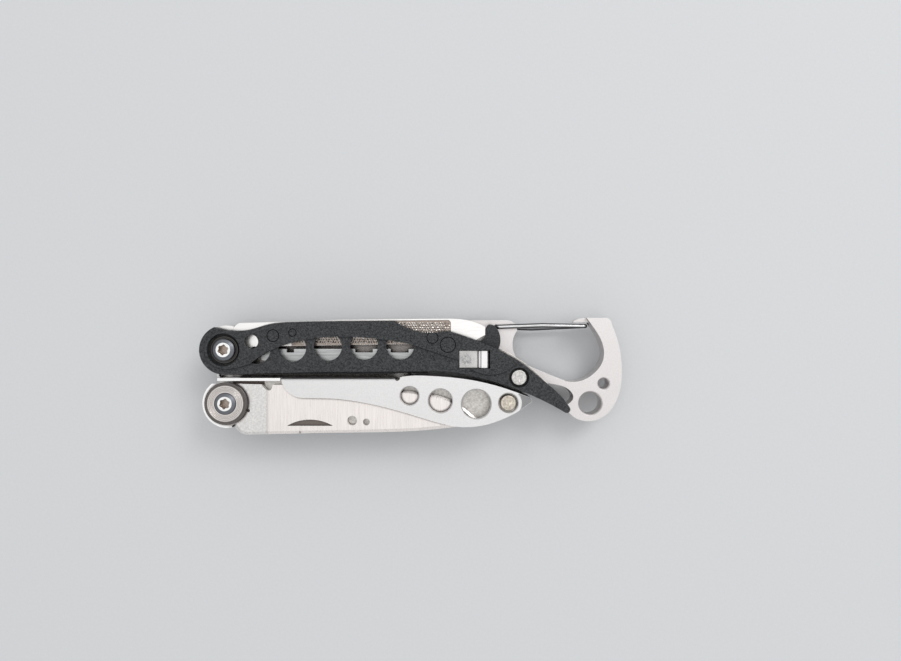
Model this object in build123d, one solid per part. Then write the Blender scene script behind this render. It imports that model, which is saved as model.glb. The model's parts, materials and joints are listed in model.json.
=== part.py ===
from build123d import *
import math
import os

# Folded pocket multi-tool, in millimetres. +X runs along the handles to the carabiner,
# +Y from the knife side to the file side, +Z up through the stack of layers.

# ---- layers of the stack, from the back scales up to the front scales ----
BACK_SCALE_TOP = 1.3
CORE_BOTTOM = 2.2
CORE_TOP = 5.8
LINER_TOP = 6.6
TOOL_BOTTOM = 6.65
TOOL_TOP = 7.95
FRONT_SCALE_BOTTOM = 8.0
FRONT_SCALE_TOP = 9.3
RAISED_BAND_TOP = 9.65
LIP_TOP = 7.1
LEAF_TOP = 9.05

# ---- pivots and rivets ----
UPPER_PIVOT = (-33.74, 4.84)
LOWER_PIVOT = (-33.6, -4.8)
SCISSOR_PIVOT = (-26.6, 0.05)
UPPER_RIVET = (18.87, -0.1)
LOWER_RIVET = (16.97, -4.66)
RIVET_RADIUS = 1.36
RIVET_EDGE = 0.08
RIVET_LOW = 0.2
RIVET_RECESS_RADIUS = 1.8
BACK_RIVET_RECESS = 0.5
UPPER_RIVET_TOP = 9.15
LOWER_RIVET_TOP = 8.95
SLEEVE_RADIUS = 2.0
SLEEVE_HEAD_RADIUS = 2.8
SLEEVE_RECESS_RADIUS = 2.9
SLEEVE_LOW = 0.2
SLEEVE_HEAD_TOP = 0.9
SLEEVE_SOCKET_TOP = 0.8
SLEEVE_BORE_FLOOR = 1.0
SCREW_BOTTOM = 1.6
THREAD_RADIUS = 1.2
THREAD_GAP = 0.02
CONE_RADIUS = 1.97
CONE_HEIGHT = 0.3
CROWN_RADIUS = 1.27
SOCKET_RADIUS = 0.8
SOCKET_DEPTH = 1.1
LOBE_REACH = 0.7
LOBE_RADIUS = 0.26
RUNNING_GAP = 0.04
SCISSOR_PIN_RADIUS = 1.1
SPINE_RIVETS = [(-20.0, 8.4), (-3.0, 8.7)]
SPINE_RIVET_RADIUS = 0.7

# ---- heights of the parts stacked on each pivot ----
UPPER_SLEEVE_TOP = 8.65
UPPER_RECESS_FLOOR = 8.7
UPPER_WASHER_TOP = 9.0
UPPER_SCREW_TOP = 9.75
LOWER_SLEEVE_TOP = 7.98
LOWER_DARK_WASHER_TOP = 8.8
LOWER_WASHER_TOP = 9.0
LOWER_SCREW_TOP = 9.35

# ---- discs round the pivots ----
UPPER_END_RADIUS = 4.4
UPPER_BOSS_RADIUS = 3.3
UPPER_RECESS_RADIUS = 2.95
UPPER_WASHER_RADIUS = 2.45
LINER_END_RADIUS = 4.15
FILE_TANG_RADIUS = 4.35
KNIFE_TANG_RADIUS = 4.45
LOWER_DARK_WASHER_RADIUS = 3.8
LOWER_WASHER_RADIUS = 3.25
WASHER_RINGS = (2.35, 2.62, 2.9)
WASHER_RING_WIDTH = 0.1
WASHER_RING_DEPTH = 0.08
SCISSOR_BOSS_RADIUS = 3.4

# ---- front scale of the upper handle ----
HOLE_RADIUS = 2.5
HOLE_RELIEF = 0.4
FIRST_HOLE_RELIEF_TOP = 8.65
HOLE_RELIEF_TOP = 9.0
SMALL_HOLE_RELIEF_TOP = 9.25
HOLE_CENTRES = [(-27.96, 4.82), (-21.57, 5.23), (-15.22, 5.39), (-8.77, 5.57), (-2.33, 5.6)]
SMALL_HOLE = (-28.76, 6.3)
SMALL_HOLE_RADIUS = 1.25
RING_GROOVES = [(-24.9, 7.38, 1.05), (-21.43, 7.92, 0.66), (3.43, 6.99, 1.0), (6.17, 5.75, 1.36)]
RING_GROOVE_WIDTH = 0.18
RING_GROOVE_DEPTH = 0.25
UPPER_RIVET_RECESS_FLOOR = 8.6
WINDOW_LOW = (8.13, 1.51)
WINDOW_HIGH = (13.7, 4.75)
SPRING_PAD_TOP = 8.3
SPRING_GROOVE_FLOOR = 8.1
SPRING_STEP_TOP = 8.7
SPRING_TAB_TOP = 9.05

# ---- front channel of the lower handle ----
LEAF_HOLES = [(-0.69, -3.38, 1.83), (4.82, -4.28, 2.3), (11.24, -4.85, 2.8)]
LEAF_RIVET_HOLE_RADIUS = 1.9
LEAF_CHAMFER = 0.2
LEAF_END_RADIUS = 2.35
LEAF_LEFT = -23.56
BEND_RELIEF_WIDTH = 0.16
BEND_RELIEF_DEPTH = 0.5
TIP_LEFT = 18.75
TIP_TOP = 8.8
TIP_SLOPE = 11.0
WEB_TOP = -0.2
WEB_BOTTOM = -0.7
WEB_LEFT = -35.0
WEB_RIGHT = -3.35
TANG_WINDOW = (-34.65, -31.5)
KNIFE_STOP_BOTTOM = -0.45
FOLD_THICKNESS = 0.6
FOLD_LENGTH = 15.0
FOLD_MIDDLE = 6.2
BEND_RADIUS = 0.6

# ---- carabiner ----
LANYARD_HOLE = (32.29, -5.06)
LANYARD_RADIUS = 2.03
KEY_HOLE = (34.75, -1.45)
KEY_HOLE_RADIUS = 0.95
PLATE_CHAMFER = 0.25
GATE_PIVOT = (15.0, 8.95)
WIRE_RADIUS = 0.4
WIRE_OFFSET = 0.02
GATE_NOSE_X = 31.35
NOSE_TONGUE_LAYER = (3.1, 4.9)

# ---- scissors ----
SCISSOR_A_LAYER = (2.25, 3.95)
SCISSOR_B_LAYER = (4.05, 5.75)
SCISSOR_SPRING_LAYER = (4.1, 5.4)

# ---- knife ----
BLADE_HOLES = [(-11.08, -7.93, 0.87), (-8.52, -8.18, 0.61)]
NAIL_NICK = (-18.67, -8.88)
NAIL_NICK_LENGTH = 8.32
NAIL_NICK_HEIGHT = 1.13
NAIL_NICK_DEPTH = 0.35

KNIFE_TOP_FLAT = -1.3
BLADE_BACK = [
    (-32.45, -8.7), (-31.75, -9.75), (-31.0, -10.3), (-29.8, -10.5), (-20.5, -10.3),
    (-9.2, -10.12), (0.0, -9.85), (6.4, -9.25), (12.0, -8.3),
]
BACK_BEVEL_WIDTH = 0.55
BACK_BEVEL_DROP = 0.3
BLADE_EDGE = [(12.0, -8.3), (9.4, -5.95), (6.5, -4.15), (0.0, -2.72), (-12.0, -1.75), (-23.3, -1.5)]
EDGE_BEVEL_WIDTH = 0.4
EDGE_BEVEL_DROP = 0.25
TANG_DIMPLE = (-29.75, -6.15)
TANG_DIMPLE_RADIUS = 0.28

# ---- tweezers ----
TINE_THICKNESS = 0.5
FRONT_TINE_LOW = 7.35
BACK_TINE_LOW = 6.75
TINE_TOP = 5.0
TINE_BOTTOM = 2.2
TINE_NOTCHES = [(-22.9, -21.6), (-10.55, -7.4), (-4.15, -0.93)]
TINE_NOTCH_BOTTOM = 4.35

# ---- file ----
FILE_TEETH_LEFT = -21.5
FILE_TEETH_RIGHT = 6.6
FILE_TOOTH_PITCH = 0.8
FILE_TANG_STEP = 0.15
FILE_POCKET_DEPTH = 0.1
FILE_TOOTH_DEPTH = 0.16


# ==== helpers ====
FROM_BASE = (Align.CENTER, Align.CENTER, Align.MIN)


def outline(start, *steps):
    """A closed face from straight runs, arcs and curves, in order round its edge."""
    edges = []
    here = start
    for kind, *points in steps:
        if kind == "line":
            edges.append(Line(here, points[0]))
        elif kind == "arc":
            edges.append(ThreePointArc(here, *points))
        else:
            edges.append(Spline(here, *points))
        here = points[-1]
    if here != start:
        edges.append(Line(here, start))
    return make_face(edges)


def slab(face, low, high):
    """A flat plate of the given outline between two heights."""
    return extrude(Pos(0, 0, low) * face, high - low, dir=(0, 0, 1))


def disc(centre, radius):
    """A round face at a place in the plan."""
    return Pos(centre[0], centre[1]) * Circle(radius)


def post(centre, radius, low, high):
    """A round post between two heights."""
    return slab(disc(centre, radius), low, high)


def box(low, high, bottom, top):
    """A rectangular block from two plan corners and two heights."""
    size = (high[0] - low[0], high[1] - low[1])
    middle = ((high[0] + low[0]) / 2, (high[1] + low[1]) / 2)
    return slab(Pos(*middle) * Rectangle(*size), bottom, top)


def polar(centre, radius, degrees):
    """A point on a circle in the plan."""
    angle = math.radians(degrees)
    return (centre[0] + radius * math.cos(angle), centre[1] + radius * math.sin(angle))


def ease(solid, height, size):
    """Chamfers every edge of a round piece that lies at one height."""
    edges = solid.edges().filter_by_position(Axis.Z, height - 0.001, height + 0.001)
    return chamfer(edges, size)


def eased_hole(centre, radius, low, high, size):
    """The space of a round hole with a chamfer at both of its mouths."""
    hole = post(centre, radius, low, high)
    hole += cone(centre, radius + size, radius, low, low + size)
    return hole + cone(centre, radius, radius + size, high - size, high)


def ring(centre, outer, inner, low, high):
    """A flat ring between two heights."""
    return post(centre, outer, low, high) - post(centre, inner, low, high)


def lobed_socket(centre, low, high):
    """The six-lobed driver recess of a pivot screw."""
    star = disc(centre, SOCKET_RADIUS)
    for turn in range(6):
        star += disc(polar(centre, LOBE_REACH, 60 * turn + 20), LOBE_RADIUS)
    return slab(star, low, high)


def edge_wedges(points, width, drop, side):
    """Wedges that bevel a plate's edge: side 1 on its top face, side -1 on its bottom face.

    The points run along the edge with the plate on their left."""
    face_height = TOOL_TOP if side > 0 else TOOL_BOTTOM
    overhang = 0.4
    profile = [
        (width, face_height),
        (-overhang, face_height - side * drop * (1 + overhang / width)),
        (-overhang, face_height + side * overhang),
        (width, face_height + side * overhang),
    ]
    section = Plane.YZ * make_face(Polyline(*profile, close=True))
    wedges = []
    for (x, y), (next_x, next_y) in zip(points, points[1:]):
        length = math.hypot(next_x - x, next_y - y)
        turn = math.degrees(math.atan2(next_y - y, next_x - x))
        wedges.append(Pos(x, y, 0) * Rot(0, 0, turn) * extrude(section, length, dir=(1, 0, 0)))
    return wedges


def cone(centre, low_radius, high_radius, low, high):
    """A round cone frustum between two heights."""
    shape = Cone(low_radius, high_radius, high - low, align=FROM_BASE)
    return Pos(centre[0], centre[1], low) * shape


# ==== outlines ====
def upper_scale_outline():
    """The long scale of the upper handle: round end, dipped shoulder and curved tail."""
    start = polar(UPPER_PIVOT, UPPER_END_RADIUS, -95)
    return outline(
        start,
        ("arc", polar(UPPER_PIVOT, UPPER_END_RADIUS, 180), polar(UPPER_PIVOT, UPPER_END_RADIUS, 113)),
        ("curve", (-34.8, 8.68), (-33.6, 8.42), (-31.9, 8.22), (-30.3, 8.24), (-28.6, 8.54), (-26.1, 9.3),
         (-24.0, 9.66), (-21.4, 9.8), (-18.8, 9.88)),
        ("line", (-13.6, 9.94)),
        ("line", (-3.3, 9.93)),
        ("curve", (-0.9, 8.65), (1.7, 7.95), (4.4, 8.0), (6.4, 8.15)),
        ("curve", (9.4, 7.2), (15.1, 4.87), (18.9, 2.8), (22.7, -0.2), (27.1, -4.3), (27.85, -5.4)),
        ("arc", (27.85, -6.15), (27.1, -6.35)),
        ("curve", (22.2, -3.75), (16.7, -1.53), (12.9, -0.35), (8.5, 0.68), (2.5, 1.02)),
        ("line", (-16.2, 0.93)),
    )


def raised_band_outline():
    """The higher band of the front scale, over a sweeping line that cuts the row of holes."""
    sweep_line = outline(
        (-33.74, 1.38),
        ("curve", (-31.2, 1.75), (-29.0, 2.38)),
        ("curve", (-24.1, 5.3), (-19.3, 6.65), (-12.0, 7.2), (-6.3, 6.8), (-0.4, 5.8), (3.1, 4.7),
         (7.97, 3.1)),
        ("curve", (10.7, 1.2), (13.4, 0.45), (15.4, 0.66), (17.2, 1.5)),
        ("line", (22.0, 6.0)),
        ("line", (0.0, 14.0)),
        ("line", (-33.74, 14.0)),
    )
    return sweep_line + disc(UPPER_PIVOT, UPPER_BOSS_RADIUS)


def upper_liner_outline():
    """The upper liner: it shows as a thin strip past the scale by the carabiner."""
    return outline(
        (-35.0, 0.15),
        ("line", (-35.6, 1.14)),
        ("arc", polar(UPPER_PIVOT, LINER_END_RADIUS, 180), polar(UPPER_PIVOT, LINER_END_RADIUS, 110)),
        ("line", (-33.2, 9.15)),
        ("line", (-26.0, 9.6)),
        ("line", (10.4, 10.0)),
        ("line", (10.4, 6.7)),
        ("curve", (12.2, 6.33), (15.3, 5.12), (19.1, 3.08), (22.85, 0.05), (27.1, -4.1)),
        ("line", (27.5, -5.5)),
        ("line", (26.9, -6.1)),
        ("curve", (22.2, -3.6), (16.7, -1.4), (8.5, 0.8), (2.5, 1.15)),
        ("line", (-5.0, 0.95)),
        ("line", (-5.2, 0.22)),
    )


def carabiner_outline():
    """The carabiner plate: a hook round the eye, with its root inside the upper handle."""
    return outline(
        (2.5, 10.05),
        ("line", (16.9, 10.2)),
        ("curve", (18.2, 9.7), (18.87, 8.3)),
        ("curve", (18.15, 6.8), (18.1, 4.8), (19.4, 2.5)),
        ("curve", (22.6, 1.1), (27.8, -1.0)),
        ("curve", (30.6, -0.93), (33.1, 0.55), (34.67, 3.0), (34.5, 5.9), (33.1, 8.55), (31.6, 10.6)),
        ("line", (35.4, 10.6)),
        ("curve", (36.0, 10.1), (36.3, 9.2)),
        ("curve", (37.6, 5.3), (38.06, 1.6), (37.2, -4.3), (34.8, -7.45), (32.0, -8.36), (28.4, -6.8)),
        ("line", (26.9, -6.0)),
        ("curve", (22.2, -3.5), (16.7, -1.3), (8.5, 0.9), (2.5, 1.25)),
    )


def lower_liner_outline():
    """The lower liner: round end, straight top edge and a belly hidden behind the knife."""
    return outline(
        polar(LOWER_PIVOT, LINER_END_RADIUS, 90),
        ("arc", polar(LOWER_PIVOT, LINER_END_RADIUS, 180), polar(LOWER_PIVOT, LINER_END_RADIUS, 270)),
        ("line", (-20.0, -8.9)),
        ("line", (7.7, -8.7)),
        ("curve", (12.9, -8.35), (17.5, -6.75), (20.8, -4.75)),
        ("line", (20.9, -3.9)),
        ("curve", (17.2, -2.45), (10.0, -0.65), (3.0, -0.25)),
        ("line", (-2.0, WEB_TOP - 0.45)),
    )


def leaf_outline():
    """The silver front leaf of the lower handle: a round left end and a long belly."""
    return outline(
        (LEAF_LEFT, WEB_TOP),
        ("curve", (-23.35, -1.3), (-22.8, -2.25), (-21.9, -3.08), (-20.9, -3.55), (-19.6, -3.74)),
        ("line", (-15.0, -3.83)),
        ("curve", (-8.4, -4.67), (-1.1, -6.51), (4.5, -8.2), (7.7, -8.87), (10.5, -8.92), (15.3, -7.8),
         (20.8, -4.8)),
        ("arc", (21.25, -4.2), (20.8, -3.7)),
        ("curve", (17.2, -2.32), (10.0, -0.5), (3.1, 0.17), (-0.2, 0.22), (-1.9, 0.05)),
        ("line", (-2.4, -0.1)),
        ("arc", (-2.85, -0.7), (WEB_RIGHT, WEB_TOP)),
    )


def right_of(x):
    """A wide face that covers everything to the right of a line."""
    return Pos(x + 15, 0) * Rectangle(30, 40)


def end_tip_outline():
    """The tip of the lower handle, right of the round end of its front leaf."""
    return (leaf_outline() & right_of(TIP_LEFT)) - disc(LOWER_RIVET, LEAF_END_RADIUS + 0.05)


def knife_outline():
    """The knife: round tang, ricasso, notch ahead of the edge, drop-point blade and heel."""
    blade = outline(
        (-32.6, KNIFE_TOP_FLAT),
        ("line", (-27.4, -1.4)),
        ("curve", (-26.95, -2.0), (-26.15, -2.5), (-25.4, -1.5)),
        ("line", (-23.3, -1.5)),
        ("curve", (-12.0, -1.75), (0.0, -2.72), (6.5, -4.15), (9.4, -5.95), (12.0, -8.3)),
        ("curve", (6.4, -9.25), (0.0, -9.85), (-9.2, -10.12), (-20.5, -10.3)),
        ("line", (-29.8, -10.5)),
        ("curve", (-31.0, -10.3), (-31.75, -9.75), (-32.45, -8.7)),
        ("line", (-32.6, -8.0)),
    )
    above_flat = Pos(LOWER_PIVOT[0], KNIFE_TOP_FLAT + 2) * Rectangle(12, 4)
    return blade + (disc(LOWER_PIVOT, KNIFE_TANG_RADIUS) - above_flat)


def file_outline():
    """The file past its round tang: shoulder, long body and a screwdriver tip."""
    return outline(
        (-33.0, 5.2),
        ("line", (-32.55, 8.2)),
        ("curve", (-32.1, 9.15), (-31.3, 9.64)),
        ("line", (-26.8, 9.75)),
        ("line", (-13.3, 10.22)),
        ("line", (5.8, 10.42)),
        ("curve", (8.6, 10.3), (10.8, 9.85), (12.88, 8.9)),
        ("line", (12.86, 7.5)),
        ("line", (11.05, 6.5)),
        ("line", (9.6, 5.95)),
        ("line", (-3.0, 5.82)),
        ("line", (-29.0, 5.4)),
        ("line", (-30.5, 3.2)),
        ("line", (-33.0, 2.0)),
    )


def file_cut_outline():
    """The toothed area of the file, inside its smooth border."""
    return outline(
        (FILE_TEETH_LEFT - 0.5, 5.0),
        ("line", (FILE_TEETH_LEFT - 0.5, 9.66)),
        ("line", (-13.3, 10.0)),
        ("line", (6.1, 10.2)),
        ("arc", (6.53, 10.02), (6.71, 9.6)),
        ("line", (6.71, 5.0)),
    )


# ==== upper handle ====
def upper_front_scale():
    """Moulded front scale: low plate, raised band, ring grooves, window and a rail below."""
    plate_face = upper_scale_outline()
    band_face = raised_band_outline() & plate_face
    scale = slab(plate_face, FRONT_SCALE_BOTTOM, FRONT_SCALE_TOP)
    band = slab(band_face, FRONT_SCALE_TOP - 0.3, RAISED_BAND_TOP)
    scale += band
    for centre in HOLE_CENTRES:
        mouth = disc(centre, HOLE_RADIUS) - raised_band_outline()
        scale -= slab(mouth, FRONT_SCALE_BOTTOM, RAISED_BAND_TOP)
        relief_top = HOLE_RELIEF_TOP if centre in HOLE_CENTRES[1:] else FIRST_HOLE_RELIEF_TOP
        scale -= post(centre, HOLE_RADIUS + HOLE_RELIEF, FRONT_SCALE_BOTTOM, relief_top)
    scale -= post(SMALL_HOLE, SMALL_HOLE_RADIUS, FRONT_SCALE_BOTTOM, RAISED_BAND_TOP)
    relief = SMALL_HOLE_RADIUS + HOLE_RELIEF
    scale -= post(SMALL_HOLE, relief, FRONT_SCALE_BOTTOM, SMALL_HOLE_RELIEF_TOP)
    groove_floor = RAISED_BAND_TOP - RING_GROOVE_DEPTH
    half_groove = RING_GROOVE_WIDTH / 2
    for x, y, radius in RING_GROOVES:
        scale -= ring((x, y), radius + half_groove, radius - half_groove, groove_floor, RAISED_BAND_TOP)
    scale -= post(UPPER_PIVOT, UPPER_RECESS_RADIUS, UPPER_RECESS_FLOOR, RAISED_BAND_TOP)
    scale -= post(UPPER_PIVOT, SLEEVE_RADIUS + RUNNING_GAP, FRONT_SCALE_BOTTOM, RAISED_BAND_TOP)
    scale -= post(UPPER_RIVET, RIVET_RECESS_RADIUS, UPPER_RIVET_RECESS_FLOOR, RAISED_BAND_TOP)
    scale -= post(UPPER_RIVET, RIVET_RADIUS, FRONT_SCALE_BOTTOM, RAISED_BAND_TOP)
    scale -= box(WINDOW_LOW, WINDOW_HIGH, FRONT_SCALE_BOTTOM, RAISED_BAND_TOP)
    rail = outline(
        (-27.5, 1.0),
        ("line", (-27.5, 1.95)),
        ("line", (17.0, 1.95)),
        ("curve", (20.0, 1.0), (26.6, -4.9)),
        ("line", (26.2, -5.6)),
        ("curve", (22.2, -3.4), (16.7, -1.2), (8.5, 0.95), (2.5, 1.25)),
    )
    scale += slab(rail - disc(UPPER_RIVET, RIVET_RADIUS), LINER_TOP, FRONT_SCALE_BOTTOM)
    lip = outline(
        (-31.2, 0.4),
        ("line", (-31.2, 0.9)),
        ("line", (-27.5, 1.5)),
        ("line", (2.5, 1.5)),
        ("line", (2.5, 0.6)),
        ("line", (-2.6, 0.6)),
        ("line", (-4.0, 0.42)),
    )
    return scale + slab(lip, LINER_TOP, LIP_TOP)


def upper_liner(low, high):
    """One sheet liner of the upper handle, with its pivot, rivet and spacer rivet holes."""
    liner = slab(upper_liner_outline(), low, high)
    liner -= post(UPPER_PIVOT, SLEEVE_RADIUS, low, high)
    liner -= post(UPPER_RIVET, RIVET_RADIUS, low, high)
    for centre in SPINE_RIVETS:
        liner -= post(centre, SPINE_RIVET_RADIUS, low, high)
    return liner


def upper_spine_spacer():
    """The spacer along the outer edge that holds the two upper liners apart."""
    spine = outline(
        (-27.5, 7.4),
        ("arc", (-28.3, 8.2), (-27.5, 9.1)),
        ("line", (2.3, 9.6)),
        ("line", (2.3, 7.4)),
    )
    spacer = slab(spine, CORE_BOTTOM, CORE_TOP)
    for centre in SPINE_RIVETS:
        spacer -= post(centre, SPINE_RIVET_RADIUS, CORE_BOTTOM, CORE_TOP)
    return spacer


def spine_rivets():
    """Two small rivets through the liners and the spine spacer."""
    return [post(centre, SPINE_RIVET_RADIUS, BACK_SCALE_TOP, LINER_TOP) for centre in SPINE_RIVETS]


def carabiner_plate():
    """The thick carabiner plate, with its lanyard hole, key hole, teardrop slot and nose tongue."""
    plate = slab(carabiner_outline(), CORE_BOTTOM, CORE_TOP)
    slot = outline(
        (23.6, -1.1),
        ("curve", (25.8, -1.6), (28.2, -2.45), (29.1, -3.6), (28.3, -5.15)),
        ("curve", (27.4, -5.35), (26.6, -4.6)),
    )
    plate -= slab(slot, CORE_BOTTOM, CORE_TOP)
    plate -= eased_hole(LANYARD_HOLE, LANYARD_RADIUS, CORE_BOTTOM, CORE_TOP, PLATE_CHAMFER)
    plate -= eased_hole(KEY_HOLE, KEY_HOLE_RADIUS, CORE_BOTTOM, CORE_TOP, PLATE_CHAMFER)
    tongue = outline(
        (33.0, 9.75),
        ("line", (29.3, 9.75)),
        ("line", (29.3, 9.95)),
        ("curve", (30.2, 10.4), (31.8, 10.55)),
        ("line", (33.0, 10.55)),
    )
    plate += slab(tongue, *NOSE_TONGUE_LAYER)
    plate -= post(UPPER_RIVET, RIVET_RADIUS, CORE_BOTTOM, CORE_TOP)
    plate -= post(GATE_PIVOT, WIRE_RADIUS + 0.05, CORE_BOTTOM, CORE_TOP)
    return plate


def upper_back_scale():
    """Flat back scale of the upper handle, with the same row of holes."""
    scale = slab(upper_scale_outline(), 0, BACK_SCALE_TOP)
    for centre in HOLE_CENTRES[1:]:
        scale -= post(centre, HOLE_RADIUS - 0.3, 0, BACK_SCALE_TOP)
    scale -= post(UPPER_PIVOT, SLEEVE_RECESS_RADIUS, 0, SLEEVE_HEAD_TOP)
    scale -= post(UPPER_PIVOT, SLEEVE_RADIUS, 0, BACK_SCALE_TOP)
    scale -= post(UPPER_RIVET, RIVET_RECESS_RADIUS, 0, BACK_RIVET_RECESS)
    scale -= post(UPPER_RIVET, RIVET_RADIUS, 0, BACK_SCALE_TOP)
    return scale


def pivot_sleeve(centre, top):
    """A barrel nut: the smooth sleeve that the tools turn on, with a flat head at the back."""
    sleeve = post(centre, SLEEVE_RADIUS, SLEEVE_LOW, top)
    sleeve += post(centre, SLEEVE_HEAD_RADIUS, SLEEVE_LOW, SLEEVE_HEAD_TOP)
    sleeve -= post(centre, THREAD_RADIUS, SLEEVE_BORE_FLOOR, top)
    sleeve -= lobed_socket(centre, SLEEVE_LOW, SLEEVE_SOCKET_TOP)
    return sleeve


def pivot_screw(centre, seat, top):
    """A low screw with a coned head, a flat crown and a six-lobed recess."""
    screw = post(centre, THREAD_RADIUS - THREAD_GAP / 2, SCREW_BOTTOM, seat)
    screw += post(centre, CONE_RADIUS, seat, top - CONE_HEIGHT)
    screw += cone(centre, CONE_RADIUS, CROWN_RADIUS, top - CONE_HEIGHT, top)
    return screw - lobed_socket(centre, top - SOCKET_DEPTH, top)


def upper_pivot_washer():
    """The flat washer in the recess of the front scale, under the upper pivot screw."""
    bore = THREAD_RADIUS + THREAD_GAP
    return ring(UPPER_PIVOT, UPPER_WASHER_RADIUS, bore, UPPER_RECESS_FLOOR, UPPER_WASHER_TOP)


def rivet(centre, high):
    """A solid rivet with softly rounded ends."""
    body = post(centre, RIVET_RADIUS, RIVET_LOW, high)
    return ease(ease(body, high, RIVET_EDGE), RIVET_LOW, RIVET_EDGE)


def retaining_spring():
    """The small sprung plate in the window: a flat pad, a groove and a raised round-nosed tab."""
    depth = (WINDOW_LOW[1] + 0.05, WINDOW_HIGH[1] - 0.05)
    left = WINDOW_LOW[0] + 0.05
    right = WINDOW_HIGH[0] - 0.08
    profile = [
        (left, FRONT_SCALE_BOTTOM),
        (right, FRONT_SCALE_BOTTOM),
        (right, SPRING_TAB_TOP - 0.45),
        (right - 0.1, SPRING_TAB_TOP - 0.2),
        (right - 0.4, SPRING_TAB_TOP - 0.05),
        (12.15, SPRING_TAB_TOP),
        (12.0, SPRING_STEP_TOP + 0.05),
        (11.72, SPRING_STEP_TOP),
        (11.66, SPRING_GROOVE_FLOOR),
        (11.5, SPRING_GROOVE_FLOOR),
        (11.45, SPRING_PAD_TOP),
        (left, SPRING_PAD_TOP),
    ]
    face = Plane.XZ * make_face(Polyline(*profile, close=True))
    return extrude(Pos(0, depth[0], 0) * face, depth[1] - depth[0], dir=(0, 1, 0))


# ==== gate ====
def wire_gate():
    """The wire gate: one bent wire with a strand on each face and its ends in the plate."""
    front = CORE_TOP + WIRE_OFFSET + WIRE_RADIUS
    back = CORE_BOTTOM - WIRE_OFFSET - WIRE_RADIUS
    x, y = GATE_PIVOT
    path = FilletPolyline(
        (x, y, 4.5),
        (x, y, front),
        (23.3, 9.25, front),
        (GATE_NOSE_X, 9.1, front),
        (GATE_NOSE_X, 9.1, back),
        (22.0, 8.65, back),
        (x, y, back),
        (x, y, 3.5),
        radius=0.6,
    )
    return sweep(Plane(path @ 0, z_dir=path % 0) * Circle(WIRE_RADIUS), path=path)


# ==== tweezers ====
def tine_outline():
    """One tweezers tine: a parallel strip that narrows to a slanted tip."""
    return outline(
        (-27.4, 2.9),
        ("line", (-27.75, 4.3)),
        ("line", (-24.5, TINE_TOP)),
        ("line", (11.4, TINE_TOP)),
        ("line", (11.4, TINE_BOTTOM)),
        ("line", (-22.0, TINE_BOTTOM)),
    )


def tweezers_tine(low):
    """A spring-steel tine, with notches in its upper edge."""
    tine = slab(tine_outline(), low, low + TINE_THICKNESS)
    for left, right in TINE_NOTCHES:
        tine -= box((left, TINE_NOTCH_BOTTOM), (right, TINE_TOP + 0.1), low, low + TINE_THICKNESS)
    return tine


def tweezers_cap():
    """The plastic cap: it holds both tines and ends in a hooked thumb piece."""
    cap = outline(
        (11.75, 6.3),
        ("curve", (12.6, 6.8), (13.05, 7.4)),
        ("line", (13.02, 8.5)),
        ("curve", (13.8, 9.4), (14.9, 8.8), (15.5, 7.6), (15.55, 5.7), (15.0, 4.6)),
        ("line", (14.4, 2.3)),
        ("line", (9.2, 2.1)),
        ("line", (9.2, 5.25)),
        ("line", (10.9, 5.3)),
    )
    body = slab(cap, TOOL_BOTTOM + 0.02, TOOL_TOP - 0.02)
    for low in (FRONT_TINE_LOW, BACK_TINE_LOW):
        body -= slab(tine_outline(), low, low + TINE_THICKNESS)
    return body


# ==== file ====
def file_screwdriver():
    """The folding file: slanted teeth in a shallow bed, smooth border and screwdriver tip."""
    blade = slab(file_outline(), TOOL_BOTTOM, TOOL_TOP)
    blade += post(UPPER_PIVOT, FILE_TANG_RADIUS, TOOL_BOTTOM, TOOL_TOP - FILE_TANG_STEP)
    blade -= post(UPPER_PIVOT, SLEEVE_RADIUS + RUNNING_GAP, TOOL_BOTTOM, TOOL_TOP)
    blade -= slab(file_cut_outline(), TOOL_TOP - FILE_POCKET_DEPTH, TOOL_TOP)
    count = int((FILE_TEETH_RIGHT - FILE_TEETH_LEFT) / FILE_TOOTH_PITCH)
    for index in range(1, count):
        x = FILE_TEETH_LEFT + index * FILE_TOOTH_PITCH
        groove = Pos(x, 7.7, TOOL_TOP) * Rot(0, 0, 25) * Box(0.25, 4.4, FILE_TOOTH_DEPTH * 2)
        blade -= groove
    return blade


# ==== scissors ====
def scissor_half(tang_centre, side, layer, boss_layer):
    """One scissor half: boss at its handle, arm across the pivot, and a blade."""
    x, y = SCISSOR_PIVOT
    arm = outline(
        (tang_centre[0] + 1.5, tang_centre[1] + side * 2.6),
        ("line", (x + 2.2, y - side * 0.6)),
        ("line", (x - 1.2, y - side * 2.6)),
        ("line", (tang_centre[0] - 1.2, tang_centre[1] - side * 2.6)),
    )
    blade = outline(
        (x - 1.0, y + side * 0.35),
        ("line", (0.2, y + side * 0.35)),
        ("curve", (-4.0, y - side * 1.7), (-12.0, y - side * 2.6), (x, y - side * 2.9)),
    )
    plan = arm + blade + disc(SCISSOR_PIVOT, 2.9) + disc(tang_centre, SCISSOR_BOSS_RADIUS)
    half = slab(plan, *layer)
    half += post(tang_centre, SCISSOR_BOSS_RADIUS, *boss_layer)
    half -= post(tang_centre, SLEEVE_RADIUS + RUNNING_GAP, *boss_layer)
    half -= post(tang_centre, SLEEVE_RADIUS + RUNNING_GAP, *layer)
    return half


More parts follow.
